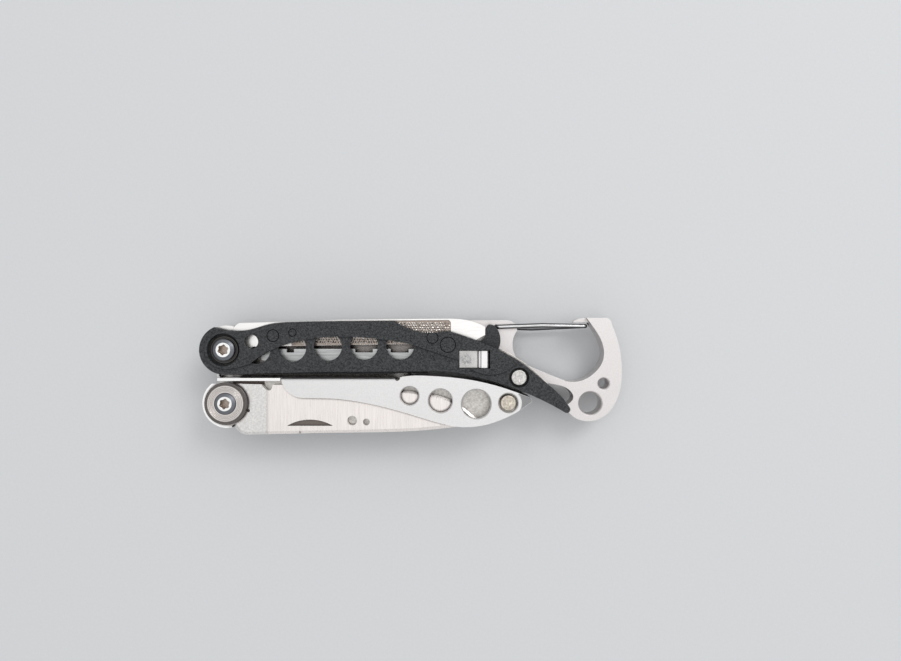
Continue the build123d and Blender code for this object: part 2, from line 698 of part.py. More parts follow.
def scissor_blade_a():
    """The scissor half on the upper handle, with the wide heel under its spring."""
    boss_layer = (SCISSOR_A_LAYER[1], SCISSOR_B_LAYER[1])
    half = scissor_half(UPPER_PIVOT, 1, SCISSOR_A_LAYER, boss_layer)
    heel = outline(
        (-27.8, -2.5),
        ("line", (-35.9, -0.4)),
        ("line", (-36.4, 2.4)),
        ("line", (-32.0, 2.4)),
    )
    half += slab(heel - disc(UPPER_PIVOT, SLEEVE_RADIUS + RUNNING_GAP), *SCISSOR_A_LAYER)
    return half - post(SCISSOR_PIVOT, SCISSOR_PIN_RADIUS, *SCISSOR_A_LAYER)


def scissor_blade_b():
    """The scissor half on the lower handle."""
    boss_layer = (SCISSOR_A_LAYER[0], SCISSOR_B_LAYER[0])
    half = scissor_half(LOWER_PIVOT, -1, SCISSOR_B_LAYER, boss_layer)
    return half - post(SCISSOR_PIVOT, SCISSOR_PIN_RADIUS + RUNNING_GAP, *SCISSOR_B_LAYER)


def scissor_pivot_pin():
    """The rivet that the two scissor halves turn on."""
    return post(SCISSOR_PIVOT, SCISSOR_PIN_RADIUS, SCISSOR_A_LAYER[0], SCISSOR_B_LAYER[1] - 0.05)


def scissor_spring():
    """The flat spring between the arms that opens the scissors."""
    strip = outline(
        (-34.6, 2.2),
        ("curve", (-35.9, 1.1), (-36.3, 0.1), (-35.4, -0.75)),
        ("line", (-34.4, -1.15)),
        ("line", (-34.3, -0.85)),
        ("line", (-35.2, -0.5)),
        ("curve", (-35.95, 0.1), (-35.6, 0.9), (-34.2, 2.0)),
    )
    return slab(strip - disc(UPPER_PIVOT, SCISSOR_BOSS_RADIUS), *SCISSOR_SPRING_LAYER)


# ==== lower handle ====
def lower_front_channel():
    """One folded sheet: front leaf, web along the top edge, and front liner."""
    leaf = slab(leaf_outline(), FRONT_SCALE_BOTTOM, LEAF_TOP)
    leaf -= slab(right_of(TIP_LEFT) - disc(LOWER_RIVET, LEAF_END_RADIUS), FRONT_SCALE_BOTTOM, LEAF_TOP)
    for x, y, radius in LEAF_HOLES:
        leaf -= eased_hole((x, y), radius - LEAF_CHAMFER, FRONT_SCALE_BOTTOM, LEAF_TOP, LEAF_CHAMFER)
    rivet_hole = (LOWER_RIVET, LEAF_RIVET_HOLE_RADIUS - LEAF_CHAMFER)
    leaf -= eased_hole(*rivet_hole, FRONT_SCALE_BOTTOM, LEAF_TOP, LEAF_CHAMFER)
    liner = slab(lower_liner_outline() - end_tip_outline(), CORE_TOP, LINER_TOP)
    liner -= post(LOWER_PIVOT, SLEEVE_RADIUS, CORE_TOP, LINER_TOP)
    liner -= post(LOWER_RIVET, RIVET_RADIUS, CORE_TOP, LINER_TOP)
    left_web = box((WEB_LEFT, WEB_BOTTOM), (WEB_RIGHT, WEB_TOP), CORE_TOP, LEAF_TOP)
    window_low = (TANG_WINDOW[0], WEB_BOTTOM)
    window_high = (TANG_WINDOW[1], WEB_TOP)
    left_web -= box(window_low, window_high, LINER_TOP, FRONT_SCALE_BOTTOM)
    stop_corner = (TANG_WINDOW[0], KNIFE_STOP_BOTTOM)
    left_web -= box((WEB_LEFT, WEB_BOTTOM), stop_corner, LINER_TOP, FRONT_SCALE_BOTTOM)
    relief_low = (LEAF_LEFT - BEND_RELIEF_WIDTH, WEB_BOTTOM)
    left_web -= box(relief_low, (LEAF_LEFT, WEB_TOP), LEAF_TOP - BEND_RELIEF_DEPTH, LEAF_TOP)
    fold = leaf_outline() - Pos(0, -FOLD_THICKNESS) * leaf_outline()
    fold &= Pos(FOLD_MIDDLE, 0) * Rectangle(FOLD_LENGTH, 6)
    return leaf + liner + left_web + slab(fold, CORE_TOP, LEAF_TOP) - bend_corner()


def bend_corner():
    """The space outside the round bend between the leaf and its web."""
    left, right = (LEAF_LEFT, WEB_RIGHT)
    low, side = (LEAF_TOP - BEND_RADIUS, WEB_TOP - BEND_RADIUS)
    corner = box((left, side), (right, WEB_TOP + 0.1), low, LEAF_TOP + 0.1)
    roll = Pos(left, side, low) * Rot(0, 90, 0) * Cylinder(BEND_RADIUS, right - left, align=FROM_BASE)
    return corner - roll


def lower_back_liner():
    """The back liner of the lower handle."""
    liner = slab(lower_liner_outline(), BACK_SCALE_TOP, CORE_BOTTOM)
    liner -= post(LOWER_PIVOT, SLEEVE_RADIUS, BACK_SCALE_TOP, CORE_BOTTOM)
    return liner - post(LOWER_RIVET, RIVET_RADIUS, BACK_SCALE_TOP, CORE_BOTTOM)


def lower_back_scale():
    """The silver back scale of the lower handle, with three round holes."""
    scale = slab(lower_liner_outline(), 0, BACK_SCALE_TOP)
    for x, y, radius in LEAF_HOLES:
        scale -= post((x, y), radius - LEAF_CHAMFER, 0, BACK_SCALE_TOP)
    scale -= post(LOWER_PIVOT, SLEEVE_RECESS_RADIUS, 0, SLEEVE_HEAD_TOP)
    scale -= post(LOWER_PIVOT, SLEEVE_RADIUS, 0, BACK_SCALE_TOP)
    return scale - post(LOWER_RIVET, RIVET_RADIUS, 0, BACK_SCALE_TOP)


def lower_end_block():
    """The block at the tip of the lower handle, which rises past the end of the leaf."""
    reach = Pos(15.0, -5.0) * Rectangle(16.0, 12.0)
    block = slab(lower_liner_outline() & reach, CORE_BOTTOM, CORE_TOP)
    block += slab(end_tip_outline(), CORE_BOTTOM, TIP_TOP)
    block -= Pos(TIP_LEFT, -4.5, TIP_TOP) * Rot(0, TIP_SLOPE, 0) * Pos(3, 0, 1) * Box(6, 8, 2)
    return block - post(LOWER_RIVET, RIVET_RADIUS, CORE_BOTTOM, CORE_TOP)


def lower_pivot_washer():
    """The pale washer under the lower pivot screw, with fine turned rings."""
    bore = THREAD_RADIUS + THREAD_GAP
    washer = ring(LOWER_PIVOT, LOWER_WASHER_RADIUS, bore, LOWER_DARK_WASHER_TOP, LOWER_WASHER_TOP)
    floor = LOWER_WASHER_TOP - WASHER_RING_DEPTH
    for radius in WASHER_RINGS:
        washer -= ring(LOWER_PIVOT, radius + WASHER_RING_WIDTH, radius, floor, LOWER_WASHER_TOP)
    return washer


def lower_spacer_washer():
    """The thick dark washer on the knife's tang: it fills the height of the front leaf."""
    bore = THREAD_RADIUS + THREAD_GAP
    return ring(LOWER_PIVOT, LOWER_DARK_WASHER_RADIUS, bore, FRONT_SCALE_BOTTOM, LOWER_DARK_WASHER_TOP)


# ==== knife ====
def knife_blade():
    """The folding knife: nail nick, two small holes, bevelled back and ground edge."""
    blade = slab(knife_outline(), TOOL_BOTTOM, TOOL_TOP)
    blade -= edge_wedges(BLADE_BACK, BACK_BEVEL_WIDTH, BACK_BEVEL_DROP, 1)
    for side in (1, -1):
        blade -= edge_wedges(BLADE_EDGE, EDGE_BEVEL_WIDTH, EDGE_BEVEL_DROP, side)
    blade -= post(TANG_DIMPLE, TANG_DIMPLE_RADIUS, TOOL_TOP - 0.3, TOOL_TOP)
    blade -= post(LOWER_PIVOT, SLEEVE_RADIUS + RUNNING_GAP, TOOL_BOTTOM, TOOL_TOP)
    for x, y, radius in BLADE_HOLES:
        blade -= post((x, y), radius, TOOL_BOTTOM, TOOL_TOP)
    left = (NAIL_NICK[0] - NAIL_NICK_LENGTH / 2, NAIL_NICK[1])
    right = (NAIL_NICK[0] + NAIL_NICK_LENGTH / 2, NAIL_NICK[1])
    crown = (NAIL_NICK[0], NAIL_NICK[1] + NAIL_NICK_HEIGHT)
    nick = outline(left, ("arc", crown, right))
    return blade - slab(nick, TOOL_TOP - NAIL_NICK_DEPTH, TOOL_TOP)


PARTS = {
    "upper_front_scale": upper_front_scale,
    "upper_front_liner": lambda: upper_liner(CORE_TOP, LINER_TOP),
    "upper_spine_spacer": upper_spine_spacer,
    "spine_rivets": spine_rivets,
    "carabiner_plate": carabiner_plate,
    "upper_back_liner": lambda: upper_liner(BACK_SCALE_TOP, CORE_BOTTOM),
    "upper_back_scale": upper_back_scale,
    "upper_pivot_sleeve": lambda: pivot_sleeve(UPPER_PIVOT, UPPER_SLEEVE_TOP),
    "upper_pivot_screw": lambda: pivot_screw(UPPER_PIVOT, UPPER_WASHER_TOP, UPPER_SCREW_TOP),
    "upper_pivot_washer": upper_pivot_washer,
    "upper_rivet": lambda: rivet(UPPER_RIVET, UPPER_RIVET_TOP),
    "retaining_spring": retaining_spring,
    "wire_gate": wire_gate,
    "tweezers_front_tine": lambda: tweezers_tine(FRONT_TINE_LOW),
    "tweezers_back_tine": lambda: tweezers_tine(BACK_TINE_LOW),
    "tweezers_cap": tweezers_cap,
    "file_screwdriver": file_screwdriver,
    "scissor_blade_a": scissor_blade_a,
    "scissor_blade_b": scissor_blade_b,
    "scissor_pivot_pin": scissor_pivot_pin,
    "scissor_spring": scissor_spring,
    "lower_front_channel": lower_front_channel,
    "lower_back_liner": lower_back_liner,
    "lower_back_scale": lower_back_scale,
    "lower_end_block": lower_end_block,
    "lower_rivet": lambda: rivet(LOWER_RIVET, LOWER_RIVET_TOP),
    "lower_pivot_sleeve": lambda: pivot_sleeve(LOWER_PIVOT, LOWER_SLEEVE_TOP),
    "lower_pivot_screw": lambda: pivot_screw(LOWER_PIVOT, LOWER_WASHER_TOP, LOWER_SCREW_TOP),
    "lower_pivot_washer": lower_pivot_washer,
    "lower_spacer_washer": lower_spacer_washer,
    "knife_blade": knife_blade,
}

os.makedirs("parts", exist_ok=True)
for name, make in PARTS.items():
    shape = make()
    if isinstance(shape, list):
        shape = Compound(shape)
    export_step(shape, f"parts/{name}.step")
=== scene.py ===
import json
import math
import random

import bmesh
import bpy
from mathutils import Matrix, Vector


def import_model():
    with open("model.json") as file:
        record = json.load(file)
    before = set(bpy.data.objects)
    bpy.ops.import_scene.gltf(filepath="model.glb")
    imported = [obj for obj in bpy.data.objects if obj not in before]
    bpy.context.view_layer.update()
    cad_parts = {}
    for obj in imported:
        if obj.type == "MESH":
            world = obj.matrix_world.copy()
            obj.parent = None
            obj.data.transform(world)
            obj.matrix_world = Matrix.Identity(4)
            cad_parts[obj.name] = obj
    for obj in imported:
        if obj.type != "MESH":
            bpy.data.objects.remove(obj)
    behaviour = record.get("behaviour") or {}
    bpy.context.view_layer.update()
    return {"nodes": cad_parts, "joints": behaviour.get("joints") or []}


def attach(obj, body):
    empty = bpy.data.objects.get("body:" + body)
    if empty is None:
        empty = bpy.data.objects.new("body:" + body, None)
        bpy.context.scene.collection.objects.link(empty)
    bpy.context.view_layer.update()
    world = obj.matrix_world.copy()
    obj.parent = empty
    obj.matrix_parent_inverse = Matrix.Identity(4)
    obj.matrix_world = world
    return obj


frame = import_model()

# Blender's lengths are metres, and MM turns millimetres into metres. Lengths are millimetres
# inside the materials, in names that end in _MM or _mm, and where a heading says so.
MM = 0.001
nodes = frame["nodes"]

# ---- centres of round marks, in metres; the pivots are read from the frame ----
joints = {joint["name"]: joint for joint in frame["joints"]}
UPPER_PIVOT = joints["file_open"]["pos_m"]
LOWER_PIVOT = joints["knife_open"]["pos_m"]
SPRING_PAD_CENTRE = (9.4 * MM, 3.0 * MM)

# ---- where a look begins and ends on the folded tool, in millimetres ----
LEAF_INSIDE_Z = (5.0, 7.3)
WEB_GAP_X = (-33.0, -27.2)
WEB_GAP_Y = (-1.6, -0.7)
WEB_BAR_X = (-36.0, -23.5)
WEB_BAR_Y = (-0.8, 0.0)
KNIFE_ROOT_X = (-26.1, -26.5)
KNIFE_SHOULDER_X = (-26.6, -26.2)
KNIFE_RIM_X = (-33.0, -33.6)
KNIFE_RIM_RADIUS = (3.6, 3.9)
NICK_X = (-22.75, -14.6)
NICK_Y = (-8.95, -7.7)
NICK_Z = (7.5, 7.8)
FILE_BED_X = (-22.1, 6.75)
FILE_BED_Z = (7.92, 7.88)
WIRE_STRANDS_Z = (3.4, 4.6)
SPRING_PAD_RADIUS = (0.6, 1.7)
SPRING_TAB_Z = (8.4, 8.7)
SCREW_RECESS_RADIUS = (1.06, 1.0)
SCREW_CROWN_RADIUS = (1.25, 1.31)
SCREW_RIM_RADIUS = (1.8, 1.95)
UPPER_SCREW_TOP_MM = 9.75
LOWER_SCREW_TOP_MM = 9.35


# ==== material helpers ====
class Look:
    """A material with a Principled shader, and short calls that add nodes to it."""

    def __init__(self, name, metallic, roughness):
        self.material = bpy.data.materials.new(name)
        self.material.use_nodes = True
        self.tree = self.material.node_tree
        self.shader = self.tree.nodes["Principled BSDF"]
        self.shader.inputs["Metallic"].default_value = metallic
        self.shader.inputs["Roughness"].default_value = roughness
        place = self.add("ShaderNodeTexCoord").outputs["Object"]
        self.in_mm = self.scaled(place, (1 / MM,) * 3)

    def add(self, kind, **settings):
        """Adds a node of a kind to the material."""
        node = self.tree.nodes.new(kind)
        for key, value in settings.items():
            setattr(node, key, value)
        return node

    def link(self, source, target):
        self.tree.links.new(source, target)

    def put(self, socket, value):
        """Links a socket to another one, or sets its value."""
        if isinstance(value, bpy.types.NodeSocket):
            self.link(value, socket)
        else:
            socket.default_value = value

    def scaled(self, vector, scale, shift=(0, 0, 0)):
        """The vector times a scale on each axis, plus a shift."""
        node = self.add("ShaderNodeVectorMath", operation="MULTIPLY_ADD")
        self.link(vector, node.inputs[0])
        node.inputs[1].default_value = scale
        node.inputs[2].default_value = shift
        return node.outputs[0]

    def noise(self, per_mm, stretch=(1, 1, 1), detail=3.0, roughness=0.55):
        """Noise with a number of grains per millimetre, drawn out along an axis by stretch."""
        node = self.add("ShaderNodeTexNoise")
        self.link(self.scaled(self.in_mm, stretch), node.inputs["Vector"])
        node.inputs["Scale"].default_value = per_mm
        node.inputs["Detail"].default_value = detail
        node.inputs["Roughness"].default_value = roughness
        return node.outputs["Fac"]

    def math(self, operation, a, b=0.0):
        """One sum on a value, or on two."""
        node = self.add("ShaderNodeMath", operation=operation)
        self.put(node.inputs[0], a)
        self.put(node.inputs[1], b)
        return node.outputs[0]

    def span(self, value, low, high, new_low=0.0, new_high=1.0):
        """Maps a value from one span to another, and clamps it."""
        node = self.add("ShaderNodeMapRange")
        self.put(node.inputs["Value"], value)
        node.inputs["From Min"].default_value = low
        node.inputs["From Max"].default_value = high
        node.inputs["To Min"].default_value = new_low
        node.inputs["To Max"].default_value = new_high
        return node.outputs["Result"]

    def mix(self, factor, first, second):
        """A colour between two colours."""
        node = self.add("ShaderNodeMix", data_type="RGBA")
        sockets = [socket for socket in node.inputs if socket.type == "RGBA"]
        self.put(node.inputs[0], factor)
        for socket, value in zip(sockets, (first, second)):
            self.put(socket, value if isinstance(value, bpy.types.NodeSocket) else (*value, 1))
        return [socket for socket in node.outputs if socket.type == "RGBA"][0]

    def edges(self, reach_mm):
        """1 on rounded edges and 0 on flats, from how far a bevelled normal leans."""
        soft = self.add("ShaderNodeBevel", samples=4)
        soft.inputs["Radius"].default_value = reach_mm * MM
        true = self.add("ShaderNodeNewGeometry").outputs["True Normal"]
        dot = self.add("ShaderNodeVectorMath", operation="DOT_PRODUCT")
        self.link(soft.outputs["Normal"], dot.inputs[0])
        self.link(true, dot.inputs[1])
        return self.span(dot.outputs["Value"], 0.995, 0.85)

    def recess(self, reach_mm, low, high):
        """0 deep in a narrow gap or a corner and 1 on open surfaces."""
        shade = self.add("ShaderNodeAmbientOcclusion", samples=6)
        shade.inputs["Distance"].default_value = reach_mm * MM
        return self.span(shade.outputs["AO"], low, high)

    def bump(self, height, depth_mm, strength):
        """Fine relief that leans the surface's normal and moves no geometry."""
        node = self.add("ShaderNodeBump")
        node.inputs["Strength"].default_value = strength
        node.inputs["Distance"].default_value = depth_mm * MM
        self.link(height, node.inputs["Height"])
        self.link(node.outputs["Normal"], self.shader.inputs["Normal"])

    def colour(self, value):
        self.put(self.shader.inputs["Base Color"], value)

    def rough(self, grain, low, high, ends=(0.3, 0.7)):
        """Roughness that runs from low to high as a grain runs between its ends."""
        self.put(self.shader.inputs["Roughness"], self.span(grain, *ends, low, high))

    def radius_from(self, centre):
        """Distance from a vertical axis, in millimetres."""
        shift = (-centre[0] / MM, -centre[1] / MM, 0)
        flat = self.scaled(self.in_mm, (1, 1, 0), shift)
        length = self.add("ShaderNodeVectorMath", operation="LENGTH")
        self.link(flat, length.inputs[0])
        return length.outputs["Value"]

    def axis(self, name):
        """One coordinate in the folded tool, in millimetres."""
        node = self.add("ShaderNodeSeparateXYZ")
        self.link(self.in_mm, node.inputs[0])
        return node.outputs[name]

    def within(self, axis, low, high, soft=0.05):
        """1 between two values of one coordinate and 0 outside them."""
        value = self.axis(axis)
        rise = self.span(value, low - soft, low + soft)
        fall = self.span(value, high + soft, high - soft)
        return self.math("MULTIPLY", rise, fall)

    def facing_up(self, low, high, both_ways=False):
        """1 on faces that look up (or also down) and 0 on faces that lean away from that."""
        node = self.add("ShaderNodeSeparateXYZ")
        self.link(self.add("ShaderNodeNewGeometry").outputs["Normal"], node.inputs[0])
        lean = self.math("ABSOLUTE", node.outputs["Z"]) if both_ways else node.outputs["Z"]
        return self.span(lean, low, high)


def dim(tone, factor):
    """A colour made darker or lighter."""
    return tuple(channel * factor for channel in tone)


# ==== materials ====
# The first colour is painted shade on steel in gaps and corners, and the second is a painted
# highlight on steel along an edge.
GAP_SHADE = (0.012, 0.010, 0.009)
EDGE_HIGHLIGHT_TONE = (0.93, 0.92, 0.91)


def black_nylon():
    """Glass-filled nylon: dark grey, fine moulded grain, a painted sheen paler along its edges,
    and painted shade in narrow gaps.
    """
    look = Look("black_nylon", 0.0, 0.5)
    look.shader.inputs["Specular IOR Level"].default_value = 0.3
    grain = look.noise(3.4, detail=6.0, roughness=0.85)
    fine = look.noise(7.0, detail=3.0)
    patches = look.noise(0.4, detail=2.0)
    speckle = look.span(grain, 0.42, 0.58)
    tone = look.mix(speckle, (0.002, 0.002, 0.002), (0.068, 0.071, 0.075))
    tone = look.mix(look.math("MULTIPLY", patches, 0.4), tone, (0.018, 0.020, 0.022))
    # Painted sheen: the edges are painted paler.
    pale_amount = look.math("MULTIPLY", look.edges(0.12), 0.35)
    tone = look.mix(pale_amount, tone, (0.11, 0.11, 0.115))
    # Painted shade: narrow gaps and corners are painted near black.
    look.colour(look.mix(look.recess(0.9, 0.3, 0.75), (0.003, 0.003, 0.003), tone))
    look.rough(fine, 0.42, 0.7)
    height = look.math("ADD", grain, look.math("MULTIPLY", fine, 0.5))
    look.bump(height, 0.085, 1.0)
    return look.material


def blasted_base(look, tone, warm):
    """The colour of bead-blasted steel: fine grains over a faint cloud."""
    peen = look.noise(4.5, detail=5.0, roughness=0.7)
    cloud = look.noise(0.3, detail=4.0)
    base = look.mix(cloud, dim(tone, 0.93), warm)
    base = look.mix(look.span(peen, 0.36, 0.64), dim(tone, 0.86), base)
    look.rough(peen, 0.36, 0.52)
    look.bump(peen, 0.014, 0.6)
    return base


def carabiner_steel():
    """Bead-blasted plate, with a painted highlight on its edges and painted shade in gaps and
    corners.
    """
    look = Look("carabiner_steel", 1.0, 0.42)
    base = blasted_base(look, (0.74, 0.71, 0.70), (0.77, 0.735, 0.72))
    # Painted highlight on the edges, then painted shade in gaps and corners.
    base = look.mix(look.edges(0.1), base, EDGE_HIGHLIGHT_TONE)
    look.colour(look.mix(look.recess(0.8, 0.05, 0.45), GAP_SHADE, base))
    return look.material


def silver_steel():
    """The folded silver sheet: blasted leaf, dull mottled inside, a painted highlight on the bar
    and edges, and painted shade in the gap under the bar and in narrow gaps.
    """
    look = Look("silver_scale_steel", 1.0, 0.42)
    base = blasted_base(look, (0.79, 0.78, 0.775), (0.81, 0.80, 0.79))
    blotch = look.noise(2.5, detail=5.0, roughness=0.7)
    inside = look.mix(look.span(blotch, 0.35, 0.65), (0.42, 0.40, 0.37), (0.70, 0.68, 0.65))
    low = look.within("Z", *LEAF_INSIDE_Z, 0.1)
    base = look.mix(low, base, inside)
    # Painted shade: the low gap under the bar is painted dark brown.
    gap = look.math("MULTIPLY", look.within("X", *WEB_GAP_X), look.within("Y", *WEB_GAP_Y))
    base = look.mix(look.math("MULTIPLY", low, gap), base, (0.10, 0.08, 0.07))
    # Painted highlight: the top of the bar is painted bright.
    bar = look.math("MULTIPLY", look.within("X", *WEB_BAR_X), look.within("Y", *WEB_BAR_Y))
    base = look.mix(look.math("MULTIPLY", bar, look.facing_up(0.5, 0.8)), base, EDGE_HIGHLIGHT_TONE)
    # Painted highlight on the edges.
    base = look.mix(look.edges(0.08), base, EDGE_HIGHLIGHT_TONE)
    # Painted shade in narrow gaps, left off the low inside faces.
    open_air = look.math("MAXIMUM", look.recess(0.5, 0.3, 0.75), low)
    look.colour(look.mix(open_air, GAP_SHADE, base))
    return look.material


def tip_steel():
    """The sloping tip of the lower handle: blasted steel painted dark as shade on its slope,
    with a painted highlight on its rim.
    """
    look = Look("tip_steel", 1.0, 0.5)
    # The dark tone is painted shade on the slope, and the bright edges are a painted highlight.
    base = blasted_base(look, (0.28, 0.28, 0.285), (0.34, 0.34, 0.34))
    look.colour(look.mix(look.edges(0.16), base, EDGE_HIGHLIGHT_TONE))
    return look.material


def brushed_steel(name, tone, along, reach, lines_per_mm=9.0, rough=0.3, groove=0.8):
    """Ground steel with fine lines along one axis, a painted highlight on its edges, and painted
    shade in gaps as wide as its reach.

    The grooves between the lines are the tone times groove.
    """
    look = Look(name, 1.0, rough)
    stretch = [0.05 if axis == along else 1.0 for axis in "xyz"]
    lines = look.noise(lines_per_mm, stretch, detail=4.0, roughness=0.65)
    cloud = look.noise(0.3, detail=2.0)
    base = look.mix(look.span(lines, 0.38, 0.62), dim(tone, groove), tone)
    base = look.mix(look.math("MULTIPLY", cloud, 0.3), base, dim(tone, 0.9))
    # Painted highlight on the edges, then painted shade in gaps as wide as the reach.
    base = look.mix(look.edges(0.08), base, EDGE_HIGHLIGHT_TONE)
    look.colour(look.mix(look.recess(reach, 0.35, 0.85), GAP_SHADE, base))
    look.rough(lines, rough - 0.06, rough + 0.1)
    look.bump(lines, 0.006, 0.5)
    return look.material


def knife_steel():
    """The knife: flats ground across it and a greyer root, with a painted highlight on its rim
    and edges, painted shade in the nail nick, and painted shadow where other parts overlap it.
    """
    look = Look("knife_steel", 1.0, 0.3)
    tone = (0.84, 0.785, 0.75)
    lines = look.noise(4.5, (1, 0.04, 1), detail=5.0, roughness=0.7)
    fine = look.noise(10.0, (1, 0.05, 1), detail=2.0)
    base = look.mix(look.span(lines, 0.36, 0.62), dim(tone, 0.80), tone)
    base = look.mix(look.math("MULTIPLY", fine, 0.25), base, (0.93, 0.90, 0.88))
    blotch = look.noise(3.0, detail=4.0)
    root = look.mix(look.span(blotch, 0.35, 0.65), (0.60, 0.585, 0.57), (0.76, 0.74, 0.72))
    base = look.mix(look.span(look.axis("X"), *KNIFE_ROOT_X), base, root)
    shoulder = look.math("MULTIPLY", look.within("X", *KNIFE_SHOULDER_X, 0.12), 0.5)
    base = look.mix(shoulder, base, (0.48, 0.46, 0.44))
    # Painted highlight: the tang's rim beyond the washer is painted bright.
    beyond_washer = look.span(look.radius_from(LOWER_PIVOT), *KNIFE_RIM_RADIUS)
    rim = look.math("MULTIPLY", beyond_washer, look.span(look.axis("X"), *KNIFE_RIM_X))
    base = look.mix(rim, base, EDGE_HIGHLIGHT_TONE)
    base = look.mix(look.edges(0.08), base, EDGE_HIGHLIGHT_TONE)
    # Painted shade: the floor of the nail nick is painted dark.
    sides = look.math("MULTIPLY", look.within("X", *NICK_X), look.within("Y", *NICK_Y))
    nick = look.math("MULTIPLY", sides, look.within("Z", *NICK_Z))
    base = look.mix(nick, base, (0.16, 0.135, 0.12))
    # Painted shadow in gaps and under the parts that overlap the knife.
    look.colour(look.mix(look.recess(0.55, 0.6, 0.92), (0.10, 0.085, 0.08), base))
    look.rough(lines, 0.22, 0.4)
    look.bump(lines, 0.008, 0.5)
    return look.material


def file_steel():
    """The file: bright smooth border and tip, a mottled brown bed under the teeth, a painted
    highlight on its edges and painted shade in narrow gaps.
    """
    look = Look("file_steel", 1.0, 0.3)
    tone = (0.93, 0.91, 0.89)
    lines = look.noise(6.0, (0.05, 1, 1), detail=4.0, roughness=0.65)
    base = look.mix(look.span(lines, 0.38, 0.62), dim(tone, 0.9), tone)
    bed_mottle = look.noise(3.0, detail=4.0)
    under_face = look.span(look.axis("Z"), *FILE_BED_Z)
    bed = look.math("MULTIPLY", look.within("X", *FILE_BED_X), under_face)
    bed = look.math("MULTIPLY", bed, look.facing_up(0.7, 0.9))
    base = look.mix(bed, base, look.mix(bed_mottle, (0.15, 0.12, 0.10), (0.46, 0.39, 0.34)))
    # Painted highlight on the edges, then painted shade in narrow gaps.
    base = look.mix(look.edges(0.08), base, EDGE_HIGHLIGHT_TONE)
    look.colour(look.mix(look.recess(0.4, 0.35, 0.85), GAP_SHADE, base))
    look.rough(lines, 0.24, 0.4)
    look.bump(lines, 0.006, 0.5)
    return look.material


def wire_steel():
    """The gate's spring wire: bright flats, with painted shade on its sides and on its lower
    back strand.
    """
    look = Look("wire_steel", 1.0, 0.18)
    lines = look.noise(5.0, (0.08, 1, 1), detail=3.0)
    top = look.mix(look.span(lines, 0.35, 0.65), (0.56, 0.56, 0.56), (0.80, 0.80, 0.81))
    # Painted shade: the lower back strand is painted dark.
    top = look.mix(look.span(look.axis("Z"), *WIRE_STRANDS_Z), (0.16, 0.16, 0.165), top)
    # Painted shade: faces that lean away from up and down are painted near black.
    look.colour(look.mix(look.facing_up(0.8, 0.99, both_ways=True), (0.045, 0.045, 0.048), top))
    look.rough(lines, 0.14, 0.28)
    return look.material


def spring_plate():
    """The window's spring: a mottled grey pad, darker at its middle, and a raised tab painted
    bright as a highlight.
    """
    look = Look("spring_plate_steel", 1.0, 0.3)
    blotch = look.noise(3.0, (1, 0.7, 1), detail=5.0, roughness=0.75)
    pad = look.mix(look.span(blotch, 0.38, 0.62), (0.22, 0.22, 0.225), (0.56, 0.55, 0.54))
    # The pad is darker at its middle and paler towards its border.
    pale_amount = look.span(look.radius_from(SPRING_PAD_CENTRE), *SPRING_PAD_RADIUS)
    pad = look.mix(pale_amount, pad, look.mix(blotch, (0.44, 0.43, 0.42), (0.72, 0.71, 0.70)))
    # Painted highlight: the raised tab is painted brighter than the pad.
    raised = look.span(look.axis("Z"), *SPRING_TAB_Z)
    look.colour(look.mix(raised, pad, (0.80, 0.80, 0.79)))
    look.rough(blotch, 0.22, 0.45)
    look.bump(blotch, 0.02, 0.4)
    return look.material


def screw_steel(name, centre, top_mm):
    """A pivot screw: bright crown, blue-grey turned cone, and a brown shadowed recess."""
    look = Look(name, 1.0, 0.3)
    radius = look.radius_from(centre)
    rings = look.math("SINE", look.math("MULTIPLY", radius, 42.0))
    speck = look.noise(5.0, detail=3.0)
    outside = look.span(radius, *SCREW_CROWN_RADIUS)
    cone = look.mix(speck, (0.085, 0.09, 0.10), (0.24, 0.25, 0.27))
    cone = look.mix(look.span(radius, *SCREW_RIM_RADIUS), cone, (0.05, 0.05, 0.055))
    tone = look.mix(outside, (0.86, 0.86, 0.85), cone)
    below = look.span(look.axis("Z"), top_mm - 0.06, top_mm - 0.2)
    inner = look.math("MULTIPLY", below, look.span(radius, *SCREW_RECESS_RADIUS))
    brown = look.mix(speck, (0.16, 0.125, 0.10), (0.46, 0.39, 0.34))
    look.colour(look.mix(inner, tone, brown))
    look.rough(outside, 0.2, 0.36, ends=(0, 1))
    look.bump(rings, 0.005, 0.5)
    return look.material


def washer_steel(name, centre, tone, dark):
    """A washer or sleeve turned round a pivot, with fine ring marks and a painted highlight on
    its edges.
    """
    look = Look(name, 1.0, 0.32)
    radius = look.radius_from(centre)
    rings = look.math("SINE", look.math("MULTIPLY", radius, 25.0))
    speck = look.noise(4.0, detail=3.0)
    base = look.mix(look.span(rings, -0.6, 0.9), dark, tone)
    base = look.mix(look.math("MULTIPLY", speck, 0.35), base, dark)
    # Painted highlight on the edges.
    look.colour(look.mix(look.edges(0.06), base, dim(tone, 1.2)))
    look.rough(speck, 0.24, 0.42)
    look.bump(rings, 0.01, 0.5)
    return look.material


def rivet_steel(name, tone):
    """A rivet head: pale, mottled and scratched, with a painted highlight on its edges."""
    look = Look(name, 1.0, 0.4)
    blotch = look.noise(2.6, detail=5.0, roughness=0.7)
    scratch = look.noise(3.0, (1, 0.25, 1), detail=3.0)
    base = look.mix(look.span(blotch, 0.35, 0.62), dim(tone, 0.55), tone)
    base = look.mix(look.span(scratch, 0.62, 0.7), base, dim(tone, 1.25))
    # Painted highlight on the edges.
    look.colour(look.mix(look.edges(0.08), base, dim(tone, 1.2)))
    look.rough(blotch, 0.3, 0.55)
    look.bump(blotch, 0.03, 0.5)
    return look.material


